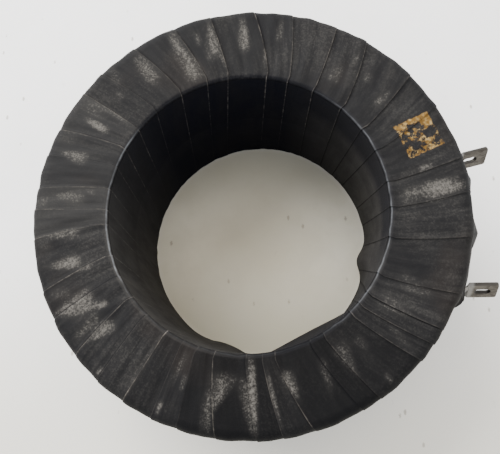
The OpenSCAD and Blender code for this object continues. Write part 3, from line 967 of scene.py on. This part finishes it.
@dataclass
class OuterTape:
    """The lapped outer tape as one closed sheet with its laps, creases, slack and dust.

    In millimetres, wall is the sheet's thickness, step how far a lap falls across its width, sink how far the top
    and side lie inside the CAD section, and foot_room the height in which the slack ends at the foot. As shares of a
    lap's width, the fall has a start and a range, and first_column and step_share are the narrow strips beside its
    edges; ledge is how much of the fall is left on the strip at the next edge. Each soft wave has a height, waves
    round the ring, radians along the section and a phase, and its shares are for the top, side and window. counts
    and lining_counts are the steps in each piece of the section, lining_turn is the inner wall's step in degrees,
    and map_lap is a lap's width on the tape's own map.
    """

    section: RingSection
    patch: PaintPatch
    window_r: float
    lapping: Lapping = field(default_factory=Lapping)
    swelling: Swelling = Swelling()
    flap: Flap = Flap()
    creases: Creases = Creases()
    toning: Toning = Toning()
    wall: float = 1.8
    step: float = 0.36
    fall_start: float = 0.1
    fall_range: float = 0.88
    ledge: float = 0.35
    sink: float = 0.3
    soft_waves: tuple[tuple[float, float, float, float], ...] = (
        (0.16, 23, 9, 0.0), (0.13, 41, -31, 1.0), (0.1, 67, 57, 0.0))
    soft_shares: tuple[float, float, float] = (1.0, 0.5, 0.7)
    foot_room: float = 1.5
    columns: int = 16
    first_column: float = 0.02
    step_share: float = 0.012
    counts: tuple[int, ...] = (3, 5, 32, 7, 46, 14, 44, 5, 3)
    lining_counts: tuple[int, ...] = (2, 3, 2, 3, 2, 3, 2, 3, 2)
    lining_turn: float = 3.0
    map_lap: float = 0.02
    slacks: tuple[Slack, ...] = (
        Slack(-9, 7.5, 8, 42, 5.6, 12), Slack(-116, 7, 6, 12, 1.6), Slack(-142, 8, 30, 30, 0.6),
        Slack(146, 4, 55, 30, 1.4, 14), Slack(60, 9, 40, 40, 0.5))
    chords: tuple[Chord, ...] = (Chord(-86, -40, 55.0, 1.1), Chord(-120, -98, 22.0, 2.4))
    scuffs: tuple[Scuff, ...] = tuple(Scuff(*row) for row in (
        (5.6, 111, 4.2, 91, 3.2, 1.6, 0.95), (4.6, 91, 2.8, 79, 2.6, 2.2, 0.55), (12.2, 98, 12.2, 91, 1.3, 0.8, 0.6),
        (11.5, 91, 11.0, 80, 1.4, 1.0, 0.28), (39.0, 99, 38.4, 87, 1.6, 0.5, 0.42),
        (47.4, 99, 47.0, 93, 1.6, 1.2, 0.38), (56.2, 94, 56.6, 83, 3.0, 1.2, 0.38),
        (53.9, 104, 53.6, 97, 0.8, 0.5, 0.5), (79.3, 109, 79.2, 96, 1.1, 0.7, 0.55),
        (91.2, 107, 90.6, 89, 1.9, 1.2, 0.7), (90.5, 106, 89.6, 89, 0.7, 0.5, 0.3),
        (83.2, 91, 82.4, 79, 1.0, 0.7, 0.4), (100.9, 109, 101.0, 87, 2.9, 0.5, 0.78),
        (105.0, 105, 105.4, 97, 1.0, 0.7, 0.45), (98.6, 88, 97.7, 80, 0.7, 0.5, 0.5),
        (111.9, 111, 112.0, 93, 2.3, 1.5, 0.62), (110.6, 94, 110.0, 78, 3.4, 2.4, 0.75),
        (124.6, 107, 124.0, 88, 2.5, 1.6, 0.72), (133.0, 112, 133.5, 100, 1.8, 1.2, 0.35),
        (137.2, 98, 137.0, 92, 1.5, 1.0, 0.4), (145.5, 112, 144.5, 94, 2.6, 2.0, 0.35),
        (142.8, 97, 142.3, 80, 0.8, 0.8, 0.45), (149.0, 102, 149.1, 88, 1.5, 0.7, 1.0),
        (157.0, 112, 155.5, 100, 2.6, 2.2, 0.25), (161.5, 105, 161.2, 91, 2.2, 0.7, 0.78),
        (174.6, 103, 174.6, 87, 2.7, 0.7, 0.62), (172.0, 86, 172.6, 81, 1.0, 0.6, 0.5),
        (177.0, 113, 176.5, 106, 1.6, 1.2, 0.4), (186.9, 107, 186.9, 88, 1.9, 0.5, 0.66),
        (188.0, 112, 189.0, 104, 2.2, 1.6, 0.3), (195.8, 106, 196.3, 90, 2.5, 0.6, 0.98),
        (200.0, 92, 199.3, 84, 1.0, 0.5, 0.6), (203.5, 110, 204.5, 100, 2.0, 1.5, 0.3),
        (208.6, 110, 209.6, 90, 3.9, 1.3, 0.92), (213.2, 91, 213.6, 85, 1.0, 0.7, 0.85),
        (217.0, 108, 216.2, 93, 1.7, 1.0, 0.62), (219.9, 104, 220.4, 89, 2.4, 0.5, 0.85),
        (227.8, 112, 227.9, 107, 0.7, 0.4, 0.8), (236.9, 108, 236.4, 84, 1.2, 0.9, 0.3),
        (246.6, 110, 246.5, 104, 0.7, 0.5, 0.7), (250.4, 96, 250.2, 88, 1.0, 0.7, 0.35),
        (246.6, 97, 247.6, 78, 1.4, 1.1, 0.28), (259.6, 112, 258.8, 92, 1.5, 1.3, 0.45),
        (261.2, 101, 262.3, 84, 3.7, 0.3, 0.72), (271.9, 108, 271.6, 77, 1.4, 1.0, 0.88),
        (270.6, 106, 268.6, 85, 1.9, 0.5, 0.42), (278.6, 106, 277.2, 84, 0.8, 0.5, 0.62),
        (284.6, 97, 283.0, 84, 2.2, 0.7, 0.62), (294.0, 100, 295.6, 84, 1.6, 0.8, 0.3),
        (302.6, 99, 303.0, 82, 2.9, 0.4, 0.42), (309.6, 92, 309.2, 84, 1.8, 1.0, 0.25),
        (308.6, 112, 309.0, 106, 0.6, 0.5, 0.4), (325.6, 98, 325.0, 80, 3.4, 1.0, 0.40),
        (332.5, 104, 334.0, 84, 3.2, 1.8, 0.28), (318.5, 106, 319.0, 92, 1.4, 0.8, 0.25)))

    def grid(self) -> Grid:
        """Lays the lap columns over the section.

        Column p of lap j runs along azimuth = (1 - p) * edge(j + s) + p * edge(j + 1 + s), so the grid follows
        the tape's own edges.

        Returns:
            Arrays of lap, column share, section share, azimuth, lap width in degrees, section trace, and how much
            each point faces up, down, outwards and into the window, shaped (ring, station).
        """
        along = self.section.stations(self.counts)
        share = along / self.section.length
        inner = np.linspace(self.first_column, 1 - self.step_share, self.columns - 2)
        part = np.concatenate([[0.0], inner, [1 - self.step_share / 3]])
        lap, column = np.meshgrid(np.arange(self.lapping.laps), part, indexing="ij")
        lap, column = lap.reshape(-1, 1), column.reshape(-1, 1)
        turn = lap + share[None, :]
        first, second = self.lapping.edge(turn), self.lapping.edge(turn + 1)
        azimuth = first + (second - first) * column
        radius, height, out_r, out_z = self.section.trace(along)
        full = {"lap": lap, "column": column, "share": share, "azimuth": azimuth, "width": second - first,
                "radius": radius, "height": height, "out_r": out_r, "out_z": out_z, "on_top": unit(out_z),
                "under": unit(-out_z), "outside": unit(out_r), "in_bore": unit(-out_r)}
        return {key: np.broadcast_to(value, azimuth.shape).copy() for key, value in full.items()}

    def relief(self, g: Grid) -> np.ndarray:
        """Works out how far each point stands off the plain section, outwards positive.

        The lap falls by the step across its width: -step * smooth(p). Each lap has creases, which are narrow
        bells in p whose place drifts along the section, and a soft unevenness made of a few sines.

        Args:
            g: The grid.

        Returns:
            Millimetres along the outward direction.
        """
        p, creases = g["column"], self.creases
        on_top, outside, in_bore = g["on_top"], g["outside"], g["in_bore"]
        seen = on_top + outside + in_bore
        rise = unit((p - self.fall_start) / self.fall_range)
        fall = rise * rise * (3 - 2 * rise)
        # Only the last column, a third of the narrow strip away from the next lap, lies past its middle.
        at_next = p > 1 - self.step_share / 2
        move = -self.step * seen / (seen + g["under"]) * np.where(at_next, self.ledge, fall)
        across = (self.section.outer_r - g["radius"]) / (self.section.outer_r - self.section.window_r)
        up = g["height"] / self.section.height
        arch = np.sin(np.pi * unit(across)) ** creases.arch
        narrow = np.clip(g["width"] / creases.full_lap, *creases.sizes)
        walls = creases.walls[0] * outside + creases.walls[1] * in_bore
        for seeds in creases.seeds:
            place, slant, size = (self.lapping.scatter(g["lap"], seed) for seed in seeds)
            beside = p - creases.first_place - creases.place_range * (0.5 + 0.5 * place)
            slant, size = creases.slant * slant, creases.height * narrow * size
            move = move + size * bell((beside - slant * (across - 0.5)) / creases.top_width) * on_top * arch
            move = move + size * bell((beside - slant * (up - 0.5)) / creases.wall_width) * walls
        a, s = np.radians(g["azimuth"]), g["share"]
        soft = sum(size * np.sin(turns * a + lean * s + phase) for size, turns, lean, phase in self.soft_waves)
        shares = self.soft_shares
        soft = soft * (shares[0] * on_top + shares[1] * outside + shares[2] * in_bore)
        return move + soft - self.sink * (on_top + outside)

    def slack(self, azimuth: np.ndarray, height: np.ndarray) -> np.ndarray:
        """Works out how far the tape hangs into the window, which is the largest of the slacks and chords.

        Args:
            azimuth: Angles round the ring.
            height: Heights over the underside.

        Returns:
            Millimetres off the wall, and 0 at the foot.
        """
        hangs = [place.hang(azimuth, height, self.section.height) for place in self.slacks]
        hangs += [chord.hang(azimuth, height, self.window_r) for chord in self.chords]
        return np.maximum(np.max(hangs, axis=0), 0) * unit(height / self.foot_room)

    def marks(self, g: Grid, radius: np.ndarray) -> Grid:
        """Works out the numbers that the tape's material reads, among them its painted light and shade.

        Args:
            g: The grid.
            radius: The points' distances from the axis.

        Returns:
            Values for each point, by name.
        """
        toning, on_top, height = self.toning, g["on_top"], g["height"]
        turned = wrapped(g["azimuth"])
        in_window = g["in_bore"] > 0.5
        shown = toning.side_share + (1 - toning.side_share) * on_top
        width = np.radians(g["width"]) * radius
        dust = sum(scuff.cover(turned, radius) for scuff in self.scuffs) * on_top
        light = self.lapping.value(g["lap"], "light")
        shadow = unit(self.lapping.value(g["lap"] + 1, "dark") * toning.dark_gain - toning.dark_loss)
        spread = np.where(in_window, 1 + toning.spread_gain * unit(shadow - toning.spread_from), 1)
        threads = toning.wall_threads.at(turned) * toning.thread_rise.at(height) * (toning.least_thread + light)
        facing = np.degrees(np.arctan2(g["out_z"], -g["out_r"]))
        # Painted shade along and under the upper rim, and on the flap under the second terminal.
        rim_shade = toning.upper_rim(toning.rim_shade_line, facing, height) * toning.rim_shade.at(turned)
        flap = self.flap.cover(g["azimuth"], height) * g["outside"]
        painted_shade = np.maximum(toning.upper_rim(toning.under_rim_shade, facing, height), rim_shade)
        return {
            "dust": np.clip(dust, 0, toning.most_dust), "facing_up": on_top, "wall": g["in_bore"],
            # Painted light on the window's wall, less near its head where painted shade falls.
            "wall_lit": toning.wall_lit.at(turned) * (1 - toning.wall_head_shade.at(turned) * toning.head_rise.at(height)),
            # The flap under the second terminal carries painted shadow too.
            "painted_shade": np.maximum(painted_shade, flap * toning.flap_dim), "from_edge": g["column"] * width,
            "to_next": (1 - g["column"]) * width / spread,
            "light": np.where(in_window, threads, light * (toning.side_light + (1 - toning.side_light) * on_top)),
            # Painted shadow lines: down the window's wall, and beside each lap's edge elsewhere.
            "shadow": np.where(in_window, toning.wall_shadow.at(turned), shadow * shown),
            "tone": 0.5 + (self.lapping.value(g["lap"], "tone") - 0.5) * shown,
            # Painted highlight along the window's upper rim.
            "rim": toning.upper_rim(toning.lit_line, facing, height) * toning.rim_lit.at(turned)}

    def surface(self, g: Grid) -> tuple[np.ndarray, np.ndarray]:
        """Places the outer surface: the section moved along its outward direction by all the forms together.

        Args:
            g: The grid.

        Returns:
            The points' radii and heights.
        """
        hang = self.slack(g["azimuth"], g["height"])
        bulge = self.swelling.lift(g["azimuth"], g["height"])
        flap = self.flap.lift * self.flap.cover(g["azimuth"], g["height"])
        move = self.relief(g) + (bulge + flap) * g["outside"] + hang * g["in_bore"]
        radius = np.minimum(g["radius"] + move * g["out_r"], self.section.outer_r + self.swelling.size)
        radius = np.maximum(radius, self.window_r - hang * g["in_bore"])
        return radius, np.clip(g["height"] + move * g["out_z"], 0, self.section.height)

    def lining(self) -> tuple[np.ndarray, np.ndarray]:
        """Lays out the plain inner wall that closes the sheet, facing inwards.

        Returns:
            The points, and the corner numbers of the faces.
        """
        rims = tuple(max(rim - self.wall, 1.0) for rim in self.section.rims)
        section = RingSection(self.window_r + self.wall, self.section.outer_r - self.wall,
                              self.section.height - self.wall, rims)
        along = section.stations(self.lining_counts)
        r, z, _, _ = section.trace(along)
        around = np.radians(np.arange(0, 360, self.lining_turn))[:, None]
        height = np.broadcast_to(np.maximum(z, self.wall), (len(around), len(r)))
        points = np.stack([r * np.cos(around), r * np.sin(around), height], -1)
        return points.reshape(-1, 3), self.weave(len(around), len(along), 0)[:, ::-1]

    def build(self) -> bpy.types.Object:
        """Builds the tape's outer surface and its inner wall as one mesh.

        Returns:
            The tape, riding on the ring.
        """
        g = self.grid()
        radius, height = self.surface(g)
        a = np.radians(g["azimuth"])
        outer = np.stack([radius * np.cos(a), radius * np.sin(a), height], -1).reshape(-1, 3)
        inner, inner_faces = self.lining()
        nothing = np.zeros(len(inner))
        numbers = {key: np.concatenate([values.ravel(), nothing]) for key, values in self.marks(g, radius).items()}
        run = ((g["lap"] + g["column"]) * self.map_lap, g["share"] * self.section.length * MM)
        uv = np.stack([np.concatenate([way.ravel(), nothing]) for way in run], -1)
        faces = np.concatenate([self.weave(*a.shape, self.columns), inner_faces + len(outer)])
        tape = sheet_mesh("outer_tape_laps", np.concatenate([outer, inner]) * MM, faces, numbers, uv)
        tape.data.materials.append(TapeFinish(self.patch).material())
        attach(tape, "root")
        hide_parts("outer_tape")
        return tape

    @staticmethod
    def weave(rings: int, count: int, shift: int) -> np.ndarray:
        """Numbers the four-sided faces of a closed grid.

        Args:
            rings: Columns round the ring.
            count: Stations round the section.
            shift: How many columns further on the section closes, because the tape gains a lap a turn.

        Returns:
            Corner numbers, one row a face.
        """
        i, m = np.meshgrid(np.arange(rings), np.arange(count), indexing="ij")

        def corner(ring: np.ndarray, station: np.ndarray) -> np.ndarray:
            """Returns the point's number, carrying over into the next lap at the end of the section."""
            over = station >= count
            return np.mod(ring + np.where(over, shift, 0), rings) * count + np.where(over, station - count, station)

        return np.stack([corner(i, m), corner(i + 1, m), corner(i + 1, m + 1), corner(i, m + 1)], -1).reshape(-1, 4)


def sheet_mesh(name: str, points: np.ndarray, faces: np.ndarray, numbers: Grid, uv: np.ndarray) -> bpy.types.Object:
    """Makes one smooth object from arrays.

    Args:
        name: The piece's name.
        points: Places in metres, one row a point.
        faces: Corner numbers, one row a face.
        numbers: Numbers kept on the points, by name.
        uv: The map's two values for each point.

    Returns:
        The object, linked to the scene.
    """
    mesh = bpy.data.meshes.new(name)
    mesh.from_pydata(points.tolist(), [], faces.tolist())
    mesh.update()
    mesh.polygons.foreach_set("use_smooth", np.ones(len(mesh.polygons), bool))
    for key, values in numbers.items():
        layer = mesh.attributes.new(key, "FLOAT", "POINT")
        layer.data.foreach_set("value", values.astype(np.float32))
    layer = mesh.uv_layers.new(name="tape_run")
    corners = np.empty(len(mesh.loops), np.int32)
    mesh.loops.foreach_get("vertex_index", corners)
    layer.data.foreach_set("uv", uv[corners].astype(np.float32).ravel())
    piece = bpy.data.objects.new(name, mesh)
    bpy.context.scene.collection.objects.link(piece)
    return piece


# ------------------------------------------------------------------ carried solids


@dataclass
class CarriedSolids:
    """The solids that keep their own shape and take a finish."""

    finishes: dict[tuple[str, ...], TinnedStripFinish | PlainLayerFinish] = field(default_factory=lambda: {
        ("terminal_s1", "terminal_s2"): TinnedStripFinish(),
        ("strip_core",): PlainLayerFinish(
            "wound_core_strip", (0.30, 0.31, 0.34), (0.16, 0.17, 0.19), (0.35, 0.5), metallic=0.9, turns=260.0),
        ("core_ring_top", "core_ring_bottom", "core_band_inner", "core_band_outer", "terminal_pad_s1",
         "terminal_pad_s2"): PlainLayerFinish("pressboard", (0.42, 0.27, 0.14), (0.31, 0.19, 0.095)),
        ("core_wrap", "winding_wrap", "terminal_cover"): PlainLayerFinish(
            "cotton_tape", (0.72, 0.67, 0.56), (0.58, 0.52, 0.41), threads=420.0, relief=0.0002),
        ("secondary_winding",): PlainLayerFinish(
            "enamelled_wire", (0.45, 0.17, 0.07), (0.33, 0.11, 0.04), (0.22, 0.38), metallic=0.5),
        ("lead_sleeve_s1", "lead_sleeve_s2"): PlainLayerFinish(
            "varnished_sleeve", (0.55, 0.40, 0.14), (0.40, 0.27, 0.08), (0.35, 0.55), threads=900.0),
        ("solder_s1", "solder_s2"): PlainLayerFinish(
            "soft_solder", (0.62, 0.62, 0.62), (0.42, 0.42, 0.43), (0.25, 0.45), metallic=0.9)})

    def dress(self) -> None:
        """Gives each solid its finish."""
        for names, finish in self.finishes.items():
            material = finish.material()
            for name in names:
                solid = frame["nodes"][name]
                solid.data.materials.clear()
                solid.data.materials.append(material)
            log.info("dressed %s", ", ".join(names))


# ------------------------------------------------------------------ studio


@dataclass(frozen=True)
class SoftLight:
    """A square soft light: its name, its place in metres, the length of its side, its power in watts, its colour."""

    name: str
    place: Place
    side: float
    watts: float
    colour: Colour

    def hang(self, aim: Place) -> None:
        """Adds the light to the scene.

        Args:
            aim: The place that it faces.
        """
        lamp = bpy.data.lights.new(self.name, "AREA")
        lamp.shape, lamp.size, lamp.energy, lamp.color = "SQUARE", self.side, self.watts, self.colour
        holder = bpy.data.objects.new(self.name, lamp)
        holder.location = self.place
        holder.rotation_euler = (Vector(aim) - Vector(self.place)).to_track_quat("-Z", "Y").to_euler()
        bpy.context.scene.collection.objects.link(holder)


@dataclass
class Studio:
    """Pale floor, soft lights and the camera that looks down on the ring.

    eye is the camera's place in millimetres and turn its rotation vector. The floor lies floor_drop under the ring,
    in metres.
    """

    eye: Place = (24.86, -73.51, 410.55)
    turn: Place = (0.2125, 0.0776, -0.0119)
    lens: float = 42.63
    sensor: float = 36.0
    clip: tuple[float, float] = (0.01, 20.0)
    floor_side: float = 6.0
    floor_drop: float = 0.0001
    room_colour: Colour = (0.95, 0.97, 1.0)
    room_strength: float = 1.6
    aim: Place = (0.0, 0.0, 0.05)
    lights: tuple[SoftLight, ...] = (
        SoftLight("window_light", (-0.95, 1.15, 1.45), 1.6, 105.0, (1.0, 0.99, 0.97)),
        SoftLight("ceiling_light", (0.3, 0.6, 2.1), 1.3, 18.0, (1.0, 0.86, 0.66)))

    def floor(self) -> None:
        """Lays the floor under the ring."""
        h, z = self.floor_side / 2, -self.floor_drop
        mesh = bpy.data.meshes.new("floor")
        mesh.from_pydata([(-h, -h, z), (h, -h, z), (h, h, z), (-h, h, z)], [], [(0, 1, 2, 3)])
        mesh.materials.append(TileFinish().material())
        floor = bpy.data.objects.new("floor", mesh)
        bpy.context.scene.collection.objects.link(floor)

    def world(self) -> None:
        """Sets an even light all round."""
        world = bpy.data.worlds.new("room")
        world.use_nodes = True
        background = world.node_tree.nodes["Background"]
        background.inputs["Color"].default_value = (*self.room_colour, 1.0)
        background.inputs["Strength"].default_value = self.room_strength
        bpy.context.scene.world = world

    def camera(self) -> None:
        """Puts the camera at its place, turned by its rotation vector."""
        data = bpy.data.cameras.new("camera")
        data.lens, data.sensor_width = self.lens, self.sensor
        data.clip_start, data.clip_end = self.clip
        camera = bpy.data.objects.new("camera", data)
        turn = Vector(self.turn)
        camera.matrix_world = Matrix.Translation(Vector(self.eye) * MM) @ Matrix.Rotation(turn.length, 4, turn)
        bpy.context.scene.collection.objects.link(camera)
        bpy.context.scene.camera = camera

    def build(self) -> None:
        """Sets the floor, the lights and the camera."""
        self.floor()
        self.world()
        for light in self.lights:
            light.hang(self.aim)
        self.camera()


def window_radius() -> float:
    """Returns the window's radius in millimetres, from its mount in the record."""
    return next(mount["dims"]["r_mm"] for mount in frame["record"]["mounts"] if mount["name"] == "window")


def main() -> None:
    """Builds the pieces in order."""
    logging.basicConfig(level=logging.INFO, format="%(name)s: %(message)s")
    Studio().build()
    log.info("studio set")
    tape_low, tape_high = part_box("outer_tape")
    window_r = window_radius()
    section = RingSection(window_r - WALL_ROOM, outer_r=-tape_low.x / MM, height=tape_high.z / MM)
    tape = OuterTape(section, PaintPatch(centre=(89.6, 37.3, 115.6), turn=24.0), window_r).build()
    log.info("%s: %d faces", tape.name, len(tape.data.polygons))
    CarriedSolids().dress()


if __name__ == "__main__":
    main()
